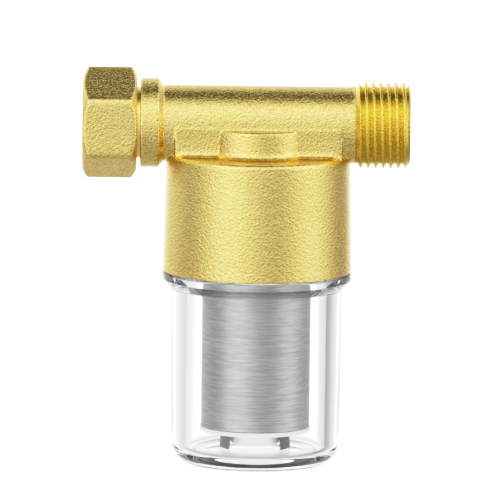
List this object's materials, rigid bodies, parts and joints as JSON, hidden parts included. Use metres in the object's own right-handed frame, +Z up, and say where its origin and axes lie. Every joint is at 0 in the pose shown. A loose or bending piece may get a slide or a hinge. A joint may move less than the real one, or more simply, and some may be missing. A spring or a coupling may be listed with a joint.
{
  "type": "magnetic system filter",
  "caption": "In-line brass heating filter: union-nut inlet, G1/2 threaded outlet, and a clear screw-on bowl holding a gauze strainer with a magnetic core.",
  "frame": {"origin": "centre of the bowl's flat base, on the bowl's axis", "axes": "+Z up along the bowl's axis to the pipe; +X along the pipe towards the threaded outlet; the union-nut inlet is on -X"},
  "size_m": [0.0793, 0.0458, 0.0965],
  "materials": {
    "cast_brass": "as-cast, blasted, satin",
    "nut_brass": "forged, satin",
    "spring_wire": "drawn wire",
    "fibre": "matte fibre sheet",
    "clear_bowl": "clear moulded, polished",
    "elastomer": "satin elastomer",
    "white_plastic": "moulded white, satin",
    "gauze": "fine woven wire",
    "stainless": "drawn tube, polished",
    "ferrite": "ground dark grey ceramic",
    "magnet_plating": "nickel plated",
    "pole_steel": "turned mild steel"
  },
  "bodies": {
    "casting": {"body_casting": "cast_brass", "nut_snap_ring": "spring_wire", "inlet_gasket": "fibre"},
    "swivel_nut": {"swivel_nut": "nut_brass"},
    "strainer": {"strainer_top_collar": "white_plastic", "strainer_collar_oring": "elastomer", "strainer_mesh": "gauze", "strainer_support_cage": "white_plastic", "strainer_bottom_cap": "white_plastic", "ferrite_segment_right": "ferrite", "ferrite_segment_left": "ferrite", "magnet_sheath": "stainless", "magnet_1": "magnet_plating", "magnet_2": "magnet_plating", "magnet_3": "magnet_plating", "magnet_4": "magnet_plating", "pole_piece_1": "pole_steel", "pole_piece_2": "pole_steel", "pole_piece_3": "pole_steel", "magnet_plug": "white_plastic"},
    "bowl": {"bowl": "clear_bowl", "bowl_oring": "elastomer"}
  },
  "joints": [
    {"name": "nut_spin", "type": "hinge", "parent": "casting", "child": "swivel_nut", "pos_m": [0, 0, 0.0828], "axis": [1, 0, 0], "continuous": true},
    {"name": "strainer_drop", "type": "slide", "parent": "casting", "child": "strainer", "axis": [0, 0, -1], "range_m": [0, 0.0075]},
    {"name": "bowl_turn", "type": "hinge", "parent": "strainer", "child": "bowl", "pos_m": [0, 0, 0], "axis": [0, 0, -1], "range_deg": [0, 1080]}
  ],
  "couplings": [
    {"joint": "strainer_drop", "follows": "bowl_turn", "m_per_rad": 0.00039789}
  ]
}
